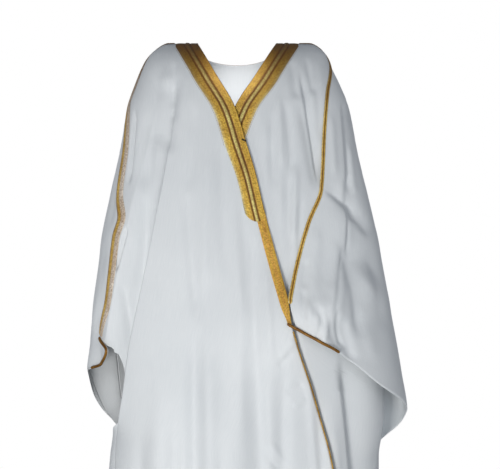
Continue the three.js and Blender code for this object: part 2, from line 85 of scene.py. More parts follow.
# Half-widths and depths of the cloak at each height, and how far the sleeves stand out past it.
# Left and right are the viewer's in the tables and the wearer's in the names of pieces and seams.
sections = {
    "z": [
        7, 4, -4, -20, -46, -88, -138, -235, -330,
        -455, -585, -680, -729, -819, -860, -915, -1100, -1360,
    ],
    "left": [
        160, 167, 180, 196, 211, 228, 245, 264, 284, 306, 311, 307, 303, 291, 278, 284, 298, 312,
    ],
    "right": [
        170, 177, 189, 201, 212, 232, 252, 271, 293, 319, 331, 334, 335, 336, 333, 325, 325, 338,
    ],
    "front": [
        0.1, 21, 38, 61, 84, 106, 120, 136, 147, 158, 168, 174, 178, 182, 184, 187, 194, 205,
    ],
    "back": [
        0.1, 21, 38, 61, 86, 110, 127, 145, 154, 158, 168, 175, 178, 182, 184, 188, 196, 205,
    ],
    "flareLeft": [0, 0, 0, 0, 0, 0, 0, 0, 0, 1, 13, 25, 33, 33, 33, 33, 33, 33],
    "flareRight": [0, 0, 0, 0, 0, 0, 0, 0, 0, 2, 13, 27, 34, 46, 40, 20, 20, 20],
}
# Edges and seams: the x of each at its heights.
frontEdge = {
    "z": [7, -71, -143, -224, -287, -360, -427, -495, -555, -615, -743, -889, -1360],
    "x": [-89, -45, -4, 22, 41, 58, 75, 93, 109, 118, 157, 197, 258],
}
underEdge = {"z": [7, -75, -143, -250, -400, -700, -1360], "x": [89, 40, -3, -40, -72, -96, -120]}
rightArmSeam = {
    "z": [7, -20, -139, -233, -341, -383, -425, -499, -568, -648, -675, -720],
    "x": [-160, -196, -243, -249, -261, -256, -268, -277, -286, -303, -282, -304],
}
leftArmSeam = {
    "z": [7, -20, -50, -110, -195, -324, -393, -468, -525, -568, -620],
    "x": [170, 201, 209, 199, 191, 183, 156, 134, 121, 114, 127],
}
sideFold = {
    "z": [7, -101, -238, -377, -556, -668, -761, -837, -894, -1360],
    "x": [-148, -130, -147, -173, -210, -234, -247, -260, -266, -270],
    "depth": [0, 2, 14, 26, 44, 52, 44, 26, 14, 10],
    "width": [20, 45, 55, 60, 60, 56, 48, 34, 30, 50],
}
rightLimit = {"z": [-680, -720, -800, -840, -880], "x": [-279, -274, -272, -276, -279]}
leftLimit = {"z": [-600, -640, -680, -720], "x": [150, 238, 300, 333]}
rightSleeveHem = {"at": [0, 0.36, 0.66, 0.86, 1], "z": [-720, -738, -834, -890, -912]}
leftSleeveHem = {
    "at": [0, 0.2, 0.4, 0.6, 0.74, 0.85, 0.93, 1],
    "z": [-620, -683, -750, -793, -822, -868, -912, -940],
}

# Folds: two ends, how far each fades to its left and right, its depth (a trough over 0, a ridge
# under 0) and, where it isn't straight, how far its middle bows sideways.
foldColumns = ("x0", "z0", "x1", "z1", "left", "right", "depth", "bow")
frontFolds = [
    (-90, -560, -90, -1480, 16, 20, 11), (-62, -560, -50, -1480, 18, 22, -9),
    (38, -560, 76, -1480, 24, 14, 12), (99, -640, 104, -1480, 18, 12, 9),
    (-165, -700, -160, -1480, 26, 26, -10), (-8, -700, 0, -1480, 30, 30, -8),
    (228, -672, 268, -1030, 7, 42, 18), (205, -720, 214, -1480, 26, 22, -9),
    (75, -200, 74, -440, 14, 14, 5), (112, -250, 114, -560, 14, 10, 6),
    (140, -130, 176, -330, 12, 16, 6),
]
# Finer creases of the fronts: the chest, the pressed line beside the arm, and round the hand.
frontCreases = [
    (-135, -75, -150, -250, 28, 16, 9, 6), (-152, -40, -176, -330, 14, 14, -2),
    (-224, -138, -237, -318, 3.5, 4, 9), (-238, -398, -267, -506, 3.5, 4, 9),
    (-256, -520, -264, -690, 4, 5, 5), (-172, -30, -204, -340, 20, 12, 8),
    (-138, -30, -146, -150, 9, 9, 4),
    (-196, -150, -208, -330, 9, 9, 3, 4), (-205, -330, -228, -560, 10, 10, 4, -4),
    (-160, -70, -176, -230, 14, 14, 5), (-128, -60, -140, -180, 12, 10, 4),
    (-94, -130, -108, -340, 14, 12, 4, -6), (-112, -300, -82, -620, 12, 14, 5),
    (-60, -210, -70, -560, 14, 16, -4), (-30, -200, -22, -520, 12, 14, 3, 4),
    (10, -330, 26, -600, 10, 12, 3.5), (4, -420, 12, -900, 12, 14, -4),
    (34, -400, 42, -700, 12, 9, 6), (62, -470, 74, -700, 9, 9, -3.5),
    (76, -150, 80, -330, 9, 11, 4), (103, -125, 118, -300, 9, 11, 4, -4),
    (92, -110, 96, -280, 8, 8, -3), (136, -50, 180, -318, 5, 17, 10, -3),
    (150, -20, 172, -120, 7, 8, 5),
    (120, -30, 132, -130, 10, 10, 4), (172, -30, 186, -230, 8, 8, 3.5),
    (128, -260, 120, -440, 8, 9, -4),
    (140, -330, 132, -480, 7, 8, 3), (58, -240, 64, -400, 7, 8, -3),
    (92, -690, 124, -640, 5, 6, -4, 2), (88, -705, 118, -668, 5, 5, 3.5),
    (104, -760, 142, -735, 6, 6, 3, 3), (120, -790, 148, -770, 6, 6, -2.5),
    (60, -870, 92, -925, 7, 7, 3.5, 4), (72, -860, 100, -905, 6, 6, -3),
    (150, -700, 176, -960, 9, 9, -3.5), (170, -780, 196, -1150, 10, 12, 4),
    (-130, -760, -126, -1400, 14, 14, 5, 6), (-30, -860, -28, -1400, 12, 14, 5, -6),
    (-205, -820, -212, -1400, 14, 14, 5), (130, -900, 136, -1400, 12, 14, 5, 4),
]
leftSleeveFolds = [
    (240, -110, 252, -350, 8, 24, 8), (192, -305, 300, -430, 10, 18, 7),
    (242, -330, 194, -620, 34, 16, -10), (226, -430, 258, -650, 12, 30, 8),
    (124, -625, 300, -500, 40, 48, -16), (160, -560, 215, -672, 10, 12, 7),
]
leftSleeveCreases = [
    (231, -120, 245, -330, 5, 6, 4, -6), (206, -150, 214, -300, 8, 9, -3),
    (252, -210, 262, -340, 6, 8, -4), (240, -290, 250, -400, 8, 16, 5),
    (184, -322, 262, -382, 5, 6, 4, -4), (240, -340, 236, -470, 4, 6, 4),
    (228, -440, 196, -600, 4, 7, 4.5), (214, -430, 192, -560, 12, 9, -3),
    (176, -400, 160, -560, 14, 12, -4),
    (152, -470, 146, -540, 7, 7, 3, 3), (142, -535, 140, -604, 4, 5, 4),
    (150, -560, 152, -620, 5, 5, -3), (178, -590, 164, -650, 4, 5, 4),
    (190, -600, 178, -656, 5, 5, -3.5), (206, -575, 222, -668, 5, 6, 6, 6),
    (212, -592, 238, -700, 12, 12, 8), (262, -560, 280, -700, 14, 16, -3),
    (290, -440, 310, -640, 14, 16, 3), (172, -560, 190, -640, 6, 6, -3),
]
backCreases = [
    (-30, -330, -36, -900, 14, 16, -5, 5), (38, -360, 44, -1000, 14, 14, -5, -5),
    (-112, -500, -120, -1400, 12, 14, 6), (116, -480, 128, -1400, 14, 12, 6, 4),
    (-192, -620, -204, -1400, 13, 13, -6), (196, -600, 210, -1400, 13, 13, -6),
    (-120, -70, -30, -150, 8, 10, 3.5, 6), (124, -80, 36, -160, 10, 8, 3.5, -6),
    (-60, -800, -58, -1400, 12, 12, 5), (56, -840, 62, -1400, 12, 12, 5),
    (-190, -150, -150, -420, 10, 14, 4, 8), (196, -160, 150, -430, 14, 10, 4, -8),
]
rightSleeveFolds = [
    (-252, -170, -282, -420, 7, 7, 4), (-290, -420, -310, -690, 7, 7, 3),
]
backFolds = [
    (0, -260, 0, -1480, 30, 30, 12), (-78, -420, -86, -1480, 26, 22, -12),
    (80, -360, 92, -1480, 24, 26, -11), (-150, -300, -166, -1480, 22, 26, 13),
    (152, -340, 172, -1480, 26, 22, 13), (-222, -560, -236, -1480, 22, 22, -11),
    (226, -560, 244, -1480, 22, 22, -10), (-160, -120, -40, -300, 16, 22, 7),
    (160, -120, 50, -290, 22, 16, 7),
]


def smooth(v):
    v = np.clip(v, 0.0, 1.0)
    return v * v * (3 - 2 * v)


def mix(a, b, t):
    return a + (b - a) * t


def unit(vectors):
    return vectors / np.linalg.norm(vectors, axis=-1, keepdims=True)


def smoothColumn(table, by="z", key="x"):
    # A cubic through the table's rows whose slope at a row is the harmonic mean of the slopes on
    # either side of it, or 0 where they differ in sign, so that it never passes a row's value.
    at = np.asarray(table[by], float)
    value = np.asarray(table[key], float)
    if at[0] > at[1]:
        at, value = at[::-1], value[::-1]
    slope = np.diff(value) / np.diff(at)
    product = slope[1:] * slope[:-1]
    total = np.where(product > 0, slope[1:] + slope[:-1], 1.0)
    inner = np.where(product > 0, 2 * product / total, 0)
    tangent = np.concatenate(([slope[0]], inner, [slope[-1]]))

    def read(where):
        q = np.clip(np.asarray(where, float), at[0], at[-1])
        i = np.clip(np.searchsorted(at, q, side="left") - 1, 0, len(at) - 2)
        h = at[i + 1] - at[i]
        t = (q - at[i]) / h
        bend = h * t * (1 - t) * (tangent[i] * (1 - t) - tangent[i + 1] * t)
        return mix(value[i], value[i + 1], (3 - 2 * t) * t * t) + bend

    return read


section = {key: smoothColumn(sections, key=key) for key in sections if key != "z"}
frontEdgeX = smoothColumn(frontEdge)
underEdgeX = smoothColumn(underEdge)
rightArmSeamX = smoothColumn(rightArmSeam)
leftArmSeamX = smoothColumn(leftArmSeam)
sideFoldX = smoothColumn(sideFold)
sideFoldDepth = smoothColumn(sideFold, key="depth")
sideFoldWidth = smoothColumn(sideFold, key="width")

# What differs between the sides: the arm seam, the edge of the hand opening, and the heights
# where a front leaves the one for the other and then meets the back.
rightSide = {
    "sign": -1, "seamX": rightArmSeamX, "limitX": smoothColumn(rightLimit),
    "flare": section["flareLeft"], "cuffTop": -640,
    "seamEnd": -680, "seamReach": 0.01, "sideStart": -880,
}
leftSide = {
    "sign": 1, "seamX": leftArmSeamX, "limitX": smoothColumn(leftLimit),
    "flare": section["flareRight"], "cuffTop": cut["hand"],
    "seamEnd": -560, "seamReach": 40, "sideStart": -720,
}


def halfWidth(side, z):
    return np.where(np.asarray(side) < 0, section["left"](z), section["right"](z))


def angleAt(x, z):
    # The turn round the body, 0 at the front, of a point x at height z.
    share = np.clip(np.abs(x) / halfWidth(x, z), 0, 1)
    return np.sign(x) * np.arcsin(share ** (1 / cut["squareness"]))


def foldDepth(folds, x, z):
    # Each fold fades in over its first quarter and out over its last fifth, falls off sideways as a
    # bell curve, and grows towards the hem.
    depth = np.zeros(np.broadcast(x, z).shape)
    for row in folds:
        fold = dict(zip(foldColumns, row))
        alongX, alongZ = fold["x1"] - fold["x0"], fold["z1"] - fold["z0"]
        length = math.hypot(alongX, alongZ)
        run = ((x - fold["x0"]) * alongX + (z - fold["z0"]) * alongZ) / length**2
        across = ((x - fold["x0"]) * alongZ - (z - fold["z0"]) * alongX) / length
        across = across - fold.get("bow", 0) * 4 * np.clip(run, 0, 1) * (1 - np.clip(run, 0, 1))
        toRight = across * (1 if alongZ >= 0 else -1) > 0
        reach = np.where(toRight, fold["right"], fold["left"])
        fade = smooth(run / 0.25) * smooth((1 - run) / 0.2)
        depth = depth + fold["depth"] * fade * np.exp(-((across / reach) ** 2))
    growth = smooth((cut["growthTop"] - z) / cut["growthReach"])
    return depth * (1 + cut["foldGrowth"] * growth)


def sideHollow(x, z):
    # The hollow beside the right front's folded edge, steep there and easing out to the arm.
    share = np.clip((sideFoldX(z) - x) / sideFoldWidth(z), 0, 1)
    return sideFoldDepth(z) * np.sin(np.pi * share**0.6) * (share < 1)


def pulledForward(x, z):
    away = np.hypot(x - handPull["x"], z - handPull["z"]) / handPull["reach"]
    return handPull["pull"] * np.exp(-(away**2))


def clothPoint(angle, z, layer):
    # A squared ellipse at height z, pressed in along its own normal by the folds as far as the
    # layer follows them, and by what the layer adds.
    angle, z = np.broadcast_arrays(np.asarray(angle, float), np.asarray(z, float))
    sin, cos = np.sin(angle), np.cos(angle)
    square = cut["squareness"]
    wide = halfWidth(sin, z)
    isFront = cos > 0
    deep = np.where(isFront, section["front"](z), section["back"](z))
    x = np.sign(sin) * wide * np.abs(sin) ** square
    y = -np.sign(cos) * deep * np.abs(cos) ** square
    facingX = np.sign(sin) * np.abs(sin) ** (2 - square) / wide
    facingY = -np.sign(cos) * np.abs(cos) ** (2 - square) / np.maximum(deep, 1)
    size = np.hypot(facingX, facingY)
    settled = smooth((cut["crest"] - 20 - z) / 60)
    folds = np.where(
        isFront,
        foldDepth(frontFolds + frontCreases, x, z) + sideHollow(x, z),
        foldDepth(backFolds + backCreases, x, z),
    )
    sideFade = smooth((1 - np.abs(sin)) / 0.06)
    inset = settled * (folds * sideFade * layer["follow"](x, z) + layer["inset"](x, z, angle))
    forward = np.where(isFront, pulledForward(x, z) * sideFade, 0)
    split = np.where(isFront, -1, 1) * cut["seamGap"] / 2
    x, y = x - facingX / size * inset, y - facingY / size * inset
    return np.stack((x, y - forward + split, z), -1)


def clothNormal(angle, z, layer):
    # Outward direction, from a small step round and a small step up.
    turn, rise = 0.006, 1.5
    around = clothPoint(angle + turn, z, layer) - clothPoint(angle - turn, z, layer)
    up = clothPoint(angle, z + rise, layer) - clothPoint(angle, z - rise, layer)
    normal = np.cross(around, up)
    crest = np.broadcast_to(z, normal.shape[:-1]) >= cut["crest"] - 0.01
    normal[..., 1] = np.where(crest, 0, normal[..., 1])
    return unit(normal)


def surface(angle, z, layer):
    return clothPoint(angle, z, layer), clothNormal(angle, z, layer)


plainLayer = {"inset": lambda x, z, angle: 0 * x, "follow": lambda x, z: 1 + 0 * x}
quarter = math.pi / 2
turnTop = cut["sleeveStart"] + 8  # where the seams begin to leave the middle of the side


def frontWedge(z):
    return np.radians(cut["wedge"]) * np.clip((turnTop - z) / cut["wedgeReach"], 0, 1)


def backSeam(z):
    return quarter + np.radians(cut["backTurn"]) * np.clip((turnTop - z) / cut["backReach"], 0, 1)


def armSeamAngle(seamX, z):
    return np.minimum(np.abs(angleAt(seamX(z), z)), quarter - frontWedge(z))


def gapTurn(angle, z, gap):
    # The turn that moves a point by half a seam's gap.
    turn = 0.01
    step = clothPoint(angle + turn, z, plainLayer) - clothPoint(angle - turn, z, plainLayer)
    return gap / 2 * 2 * turn / np.linalg.norm(step, axis=-1)


def bandSpread(edgeX, z, gathered=True):
    # Widths along a slanted edge are measured level; at the hand the cloth is drawn together.
    slope = (edgeX(z + 10) - edgeX(z - 10)) / 20
    nearHand = np.exp(-(((z - cut["hand"]) / handPull["gatherReach"]) ** 2))
    return np.hypot(1, slope) * (1 - handPull["gather"] * nearHand if gathered else 1)


def rowHeights():
    # Rows close together over the shoulder, where the cloth turns level, then evenly down.
    turnOver = cut["crest"] - (cut["crest"] - cut["sleeveStart"]) * np.linspace(0, 1, 15) ** 2
    steps = int((cut["sleeveStart"] - cut["hem"]) / cut["cell"])
    return np.concatenate((turnOver, np.linspace(cut["sleeveStart"], cut["hem"], steps + 1)[1:]))


# ---- meshes

def addMesh(name, points, quads, uv, material):
    # Points in millimetres; uv holds one pair for each point.
    mesh = bpy.data.meshes.new(name)
    mesh.vertices.add(len(points))
    mesh.vertices.foreach_set("co", (points * mm).astype(np.float32).ravel())
    mesh.loops.add(quads.size)
    mesh.loops.foreach_set("vertex_index", quads.astype(np.int32).ravel())
    mesh.polygons.add(len(quads))
    mesh.polygons.foreach_set("loop_start", np.arange(0, quads.size, 4, dtype=np.int32))
    mesh.polygons.foreach_set("use_smooth", np.ones(len(quads), dtype=bool))
    mesh.update(calc_edges=True)
    layer = mesh.uv_layers.new(name="cut")
    layer.data.foreach_set("uv", uv[quads.ravel()].astype(np.float32).ravel())
    mesh.materials.append(material)
    mesh.validate()
    return addObject(name, mesh)


def gridQuads(rows, columns, offset=0):
    a = (np.arange(rows - 1)[:, None] * columns + np.arange(columns - 1)[None, :]).ravel() + offset
    return np.stack((a, a + columns, a + columns + 1, a + 1), -1)


def shellQuads(rows, columns):
    # Outer grid, inner grid turned round, and a rim between them.
    size = rows * columns
    outer = gridQuads(rows, columns)
    inner = gridQuads(rows, columns, size)[:, ::-1]
    top = np.arange(columns - 1)
    right = np.arange(rows - 1) * columns + columns - 1
    bottom = (rows - 1) * columns + np.arange(columns - 1, 0, -1)
    left = np.arange(rows - 1, 0, -1) * columns
    rim = np.concatenate((top, right, bottom, left))
    after = np.roll(rim, -1)
    return np.concatenate((outer, inner, np.stack((rim, after, after + size, rim + size), -1)))


def flatMap(points):
    # Lengths along the rows and down the columns, in metres, as the cloth would lie flat.
    across = np.linalg.norm(np.diff(points, axis=1), axis=-1).cumsum(axis=1)
    down = np.linalg.norm(np.diff(points, axis=0), axis=-1).mean(axis=1).cumsum()
    u = np.concatenate((np.zeros((len(points), 1)), across), 1)
    v = np.concatenate(([0], down))[:, None] + 0 * u
    u = u - u[:, u.shape[1] // 2][:, None]
    return np.stack((u, -v), -1) * mm


def addWall(name, outer, inner, uv, material):
    # A closed wall between two grids; uv holds one pair for each point of the outer one.
    points = np.concatenate((outer.reshape(-1, 3), inner.reshape(-1, 3)))
    uv = uv.reshape(-1, 2)
    return addMesh(name, points, shellQuads(*outer.shape[:2]), np.concatenate((uv, uv)), material)


def lengthAlong(path):
    return np.concatenate(([0], np.linalg.norm(np.diff(path, axis=0), axis=-1).cumsum()))


def readAlong(path, values, where):
    # Values given at the points of a path, read at these distances along it.
    length = lengthAlong(path)
    return np.stack([np.interp(where, length, values[:, i]) for i in range(3)], -1)


def evenly(path, step):
    total = lengthAlong(path)[-1]
    even = np.linspace(0, total, int(total / step) + 1)
    return readAlong(path, path, even), even


# ---- finishes

def setInputs(tree, node, inputs):
    for key, value in inputs.items():
        if hasattr(value, "is_output"):
            tree.links.new(value, node.inputs[key])
        else:
            node.inputs[key].default_value = value


def addNode(tree, kind, inputs=None, **settings):
    node = tree.nodes.new("ShaderNode" + kind)
    for key, value in settings.items():
        setattr(node, key, value)
    setInputs(tree, node, inputs or {})
    return node


def newMaterial(name):
    material = bpy.data.materials.new(name)
    material.use_nodes = True
    tree = material.node_tree
    return material, tree, addNode(tree, "TexCoord").outputs["Object"]


def cutMap(tree):
    return addNode(tree, "UVMap", uv_map="cut").outputs["UV"]


def shade(tree, inputs):
    setInputs(tree, tree.nodes["Principled BSDF"], inputs)


def ramp(tree, factor, stops):
    node = addNode(tree, "ValToRGB", {"Fac": factor})
    points = node.color_ramp.elements
    while len(points) < len(stops):
        points.new(0.5)
    for point, (place, colour) in zip(points, stops):
        point.position = place
        point.color = (*colour, 1)
    return node.outputs["Color"]


def mixed(tree, kind, factor, a, b):
    colours = {i: c if hasattr(c, "is_output") else (*c, 1) for i, c in ((6, a), (7, b))}
    inputs = {0: factor, **colours}
    return addNode(tree, "Mix", inputs, data_type="RGBA", blend_type=kind).outputs[2]


def noise(tree, place, scale, detail=2.0):
    inputs = {"Vector": place, "Scale": scale, "Detail": detail}
    return addNode(tree, "TexNoise", inputs).outputs["Fac"]


def wave(tree, uv, scale, direction, **more):
    inputs = {"Vector": uv, "Scale": scale, **more}
    return addNode(tree, "TexWave", inputs, bands_direction=direction).outputs["Fac"]


def maths(tree, operation, a, b):
    return addNode(tree, "Math", {0: a, 1: b}, operation=operation).outputs[0]


def bump(tree, height, strength, distance, **more):
    inputs = {"Height": height, "Strength": strength, "Distance": distance, **more}
    return addNode(tree, "Bump", inputs).outputs["Normal"]


def tone(r, g, b):
    # A display colour of 0 to 255 as the light it stands for.
    return tuple(((c / 255 + 0.055) / 1.055) ** 2.4 for c in (r, g, b))


white = (1, 1, 1)
clothLook = {
    "light": tone(240, 242, 243), "deep": tone(228, 231, 233),
    "weave": 143.312,  # scale of the waves of warp and weft, a thread every 2.2 mm
    "slub": (900.0, 25.0, 1.0),  # streaks to a metre across the threads and along them
    "roughness": 0.62, "sheen": 0.25,
}


def makeCloth():
    material, tree, place = newMaterial("fineWhiteCloth")
    uv = cutMap(tree)
    cloudy = noise(tree, place, 3.2, 3.0)
    base = ramp(tree, cloudy, [(0.3, clothLook["deep"]), (0.7, clothLook["light"])])
    slubs = addNode(tree, "Mapping", {"Vector": uv, "Scale": clothLook["slub"]})
    streaky = noise(tree, slubs.outputs["Vector"], 1.0)
    streaks = ramp(tree, streaky, [(0.35, tone(246, 247, 248)), (0.65, white)])
    warp = wave(tree, uv, clothLook["weave"], "X")
    weft = wave(tree, uv, clothLook["weave"], "Y")
    crumpled = bump(tree, noise(tree, place, 38.0, 4.0), 0.12, 0.004)
    shade(tree, {
        "Base Color": mixed(tree, "MULTIPLY", 0.6, base, streaks),
        "Normal": bump(tree, maths(tree, "MULTIPLY", warp, weft), 0.25, 0.0002, Normal=crumpled),
        "Roughness": clothLook["roughness"],
        "Sheen Weight": clothLook["sheen"], "Sheen Roughness": 0.4,
    })
    return material


zariLook = {
    # The light yellow of a band's middle strip is a painted highlight.
    "gold": tone(250, 208, 86), "ridgeHighlight": tone(255, 240, 150), "brown": tone(140, 90, 24),
    "pale": tone(252, 240, 190), "topShade": tone(122, 80, 34), "orange": tone(252, 198, 90),
    "tan": tone(232, 200, 130), "peach": tone(255, 243, 228), "straw": tone(250, 226, 140),
    "spark": tone(150, 112, 56), "worn": tone(205, 180, 140),
    "metal": 0.16, "roughness": 0.38,
    # painted shade: the dark brown that the bands are mixed with towards the shoulders
    "topShadeFrom": -0.17, "topShadeMost": 0.92,  # duller from this height, in metres, up to the shoulders
    "ribs": 110.0, "threads": 190.0,
}
# Where each part of a band or braid lies, from its front edge (0) to its outer edge (1).
bandParts = [
    (0.0, "brown"), (0.04, "gold"), (0.28, "gold"), (0.34, "brown"), (0.38, "brown"),
    # The light strip along the middle ridge is a painted highlight.
    (0.44, "ridgeHighlight"), (0.52, "ridgeHighlight"), (0.57, "brown"), (0.61, "brown"), (0.67, "gold"),
    (0.84, "gold"), (0.93, "straw"), (1.0, "pale"),
]
narrowParts = [
    (0.0, "orange"), (0.2, "gold"), (0.3, "orange"), (0.62, "orange"), (0.78, "gold"),
    (0.9, "orange"),
]
# The flat braid of each arm seam: its width, the share of that at its start, how far it lies off
# the seam, and the height of its lower end.
rightBraidForm = {
    "width": 24.0, "start": 0.42, "shift": -6.0, "end": -648,
    "parts": [
        (0.0, "peach"), (0.46, "peach"), (0.54, "tan"), (0.7, "gold"), (0.84, "tan"),
        (1.0, "brown"),
    ],
}
leftBraidForm = {
    "width": 9.5, "start": 1.0, "shift": 0.25, "end": -570,
    "parts": [
        (0.0, "pale"), (0.1, "pale"), (0.2, "gold"), (0.36, "gold"), (0.42, "brown"),
        (0.6, "brown"), (0.66, "gold"), (0.8, "gold"), (0.9, "pale"),
    ],
}


def makeZari(name, parts, width):
    # Colour goes by the strips of the braid, and painted shade darkens it towards the shoulders;
    # the ribs of metal thread cross it at a slant.
    material, tree, place = newMaterial(name)
    uv = cutMap(tree)
    aside = addNode(tree, "SeparateXYZ", {"Vector": uv}).outputs["X"]
    share = maths(tree, "DIVIDE", aside, width * mm)
    strips = ramp(tree, share, [(at, zariLook[key]) for at, key in parts])
    glint = ramp(tree, noise(tree, place, 360.0, 3.0), [(0.38, zariLook["spark"]), (0.6, white)])
    patches = ramp(tree, noise(tree, place, 22.0, 3.0), [(0.35, zariLook["worn"]), (0.65, white)])
    gold = mixed(tree, "MULTIPLY", 0.5, mixed(tree, "MULTIPLY", 0.6, strips, glint), patches)
    # Painted shade: towards the shoulders, where the cloth turns up and gets less light, the colour
    # is mixed with a dark brown.
    height = addNode(tree, "SeparateXYZ", {"Vector": place}).outputs["Z"]
    topShadeShare = addNode(tree, "MapRange", {
        "Value": height, "From Min": zariLook["topShadeFrom"], "From Max": 0.0,
        "To Min": 0.0, "To Max": zariLook["topShadeMost"],
    }).outputs["Result"]
    ribs = wave(tree, uv, zariLook["ribs"], "Y", Distortion=0.6, Detail=1.0)
    threads = wave(tree, uv, zariLook["threads"], "DIAGONAL")
    shade(tree, {
        "Base Color": mixed(tree, "MIX", topShadeShare, gold, zariLook["topShade"]),
        "Normal": bump(tree, maths(tree, "ADD", ribs, threads), 0.7, 0.0004),
        "Metallic": zariLook["metal"], "Roughness": zariLook["roughness"],
    })
    return material


def makeCord(name, light, dark, lay):
    # Twisted threads: the turn of the strands follows the cord's own map.
    material, tree, place = newMaterial(name)
    strands = wave(tree, cutMap(tree), lay, "DIAGONAL")
    base = ramp(tree, strands, [(0.15, dark), (0.75, light)])
    patches = ramp(tree, noise(tree, place, 60.0), [(0.35, tone(170, 150, 120)), (0.6, white)])
    shade(tree, {
        "Base Color": mixed(tree, "MULTIPLY", 0.7, base, patches),
        "Normal": bump(tree, strands, 0.5, 0.0003),
        "Metallic": 0.45, "Roughness": 0.48,
    })
    return material


cloth = makeCloth()
wideZari = makeZari("wideZari", bandParts, cut["bandWidth"])
narrowZari = makeZari("narrowZari", narrowParts, cut["narrowWidth"])
rightBraid = makeZari("rightBraid", rightBraidForm["parts"], rightBraidForm["width"])
leftBraid = makeZari("leftBraid", leftBraidForm["parts"], leftBraidForm["width"])
cuffTrim = makeCord("cuffTrim", tone(190, 138, 50), tone(98, 58, 16), 160.0)
darkThread = makeCord("darkThread", tone(72, 64, 44), tone(34, 30, 22), 190.0)
goldCord = makeCord("goldCord", tone(226, 184, 84), tone(140, 96, 34), 190.0)
print("finishes made")

# ---- panels

heights = rowHeights()
panelColumns = {
    "chest": 105, "hollow": 65, "leftFront": 150, "back": 160, "rightSleeve": 60,
    "leftSleeve": 130,
}


def across(count):
    return np.linspace(0, 1, count + 1)[None, :]


def panel(name, angle, z, layer, flip=False):
    if flip:
        angle, z = angle[:, ::-1], z[:, ::-1]
    points, normals = surface(angle, z, layer)
    return addWall(name, points, points - normals * cut["wall"], flatMap(points), cloth)


def frontLimit(side, z):
    # Round to the arm seam, lower down to the edge of the hand opening, then to the seam behind.
    # Where a turn is drawn out over a few rows, they don't tear.
    opened = np.clip((side["seamEnd"] - z) / side["seamReach"], 0, 1)
    closed = np.clip((side["sideStart"] - z) / cut["openingReach"], 0, 1)
    limit = mix(armSeamAngle(side["seamX"], z), np.abs(angleAt(side["limitX"](z), z)), opened)
    return mix(limit, backSeam(z), closed)


def rightFrontPlace():
    # From the front edge back to its limit, with one column along the folded edge.
    z = heights[:, None]
    limit = -frontLimit(rightSide, z)
    limit = limit + gapTurn(limit, z, cut["armSeamGap"])
    bandEnd = frontEdgeX(z) - cut["bandWidth"] * bandSpread(frontEdgeX, z)
    fold = angleAt(np.minimum(sideFoldX(z), bandEnd - 6), z)
    chest = mix(angleAt(frontEdgeX(z), z), fold, across(panelColumns["chest"]))
    hollow = mix(fold, limit, across(panelColumns["hollow"])[:, 1:] ** 1.3)
    return np.concatenate((chest, hollow), 1), z


def leftFrontPlace():
    z = heights[:, None]
    limit = frontLimit(leftSide, z)
    limit = limit - gapTurn(limit, z, cut["armSeamGap"])
    return mix(angleAt(underEdgeX(z), z), limit, across(panelColumns["leftFront"])), z


# How far the left front lies under the right one, and how wide the strip beside the edge is that
# it takes to come out; both change below the chest. Under the sleeve it steps in as well, but
# comes out flush at the side seam lower down.
under = {
    "step": 7, "stepLow": 19, "stepFrom": -430, "edge": 50, "edgeLow": 26, "edgeFrom": -480,
    "change": 150, "fade": 38, "top": -60, "sleeveTop": -500, "topFade": 60, "sleeveFade": 30,
}
sideSeam = {"turn": 96, "reach": 18, "top": -930, "fade": 40}  # turn and reach in degrees


def underFront(x, z):
    reach = mix(under["edge"], under["edgeLow"], smooth((under["edgeFrom"] - z) / under["change"]))
    below = smooth((under["top"] - z) / under["topFade"])
    return smooth((frontEdgeX(z) + reach - x) / under["fade"]) * below


def underSleeve(x, z):
    edge = leftArmSeamX(np.maximum(z, cut["hand"]))
    below = smooth((under["sleeveTop"] - z) / under["topFade"])
    return below * smooth((x - edge + under["sleeveFade"]) / under["sleeveFade"])


def leftFrontInset(x, z, angle):
    lower = mix(under["step"], under["stepLow"], smooth((under["stepFrom"] - z) / under["change"]))
    behind = smooth((np.abs(angle) - np.radians(sideSeam["turn"])) / np.radians(sideSeam["reach"]))
    flush = behind * smooth((sideSeam["top"] - z) / sideSeam["fade"])
    return np.maximum(underFront(x, z) * lower, underSleeve(x, z) * under["step"] * (1 - flush))


leftFrontLayer = {"inset": leftFrontInset, "follow": lambda x, z: 1 - underFront(x, z)}


def sleeveLayer(side, folds):
    # A sleeve stands out past the body near its lower edge, from a little way off the arm seam.
    def inset(x, z, angle):
        turn = np.abs(angle)
        away = turn - armSeamAngle(side["seamX"], np.maximum(z, side["cuffTop"]))
        atBack = smooth((backSeam(z) - turn) / np.radians(20))
        own = np.where(turn < quarter, foldDepth(folds, x, z), 0)
        return own - side["flare"](z) * smooth(away / np.radians(cut["flareTurn"])) * atBack

    return {"inset": inset, "follow": lambda x, z: 0 * x}


def sleevePlace(side, hem, columns):
    # Rows keep the fronts' heights along the arm seam, and stretch to the sleeve's own lower edge.
    sign, top, end = side["sign"], cut["stretchTop"], hem["z"][0]
    level = heights[(heights <= cut["sleeveStart"]) & (heights > end + 2)]
    level = np.append(level, end)[:, None]
    share = across(columns)
    stretch = (smoothColumn(hem, "at", "z")(share) - top) / (end - top)
    z = np.where(level > top, level + 0 * share, top + (level - top) * stretch)
    seam = armSeamAngle(side["seamX"], level)
    start = seam + gapTurn(sign * seam, level, cut["armSeamGap"])
    finish = backSeam(z) - gapTurn(sign * backSeam(z), z, cut["backSeamGap"])
    return sign * mix(start, finish, share), z


def backAngle(sign, away, z):
    # The turn of a point of the back this share of the way from its middle to its side seam.
    limit = backSeam(z) + gapTurn(sign * backSeam(z), z, cut["backSeamGap"])
    return sign * (math.pi - (math.pi - limit) * away)


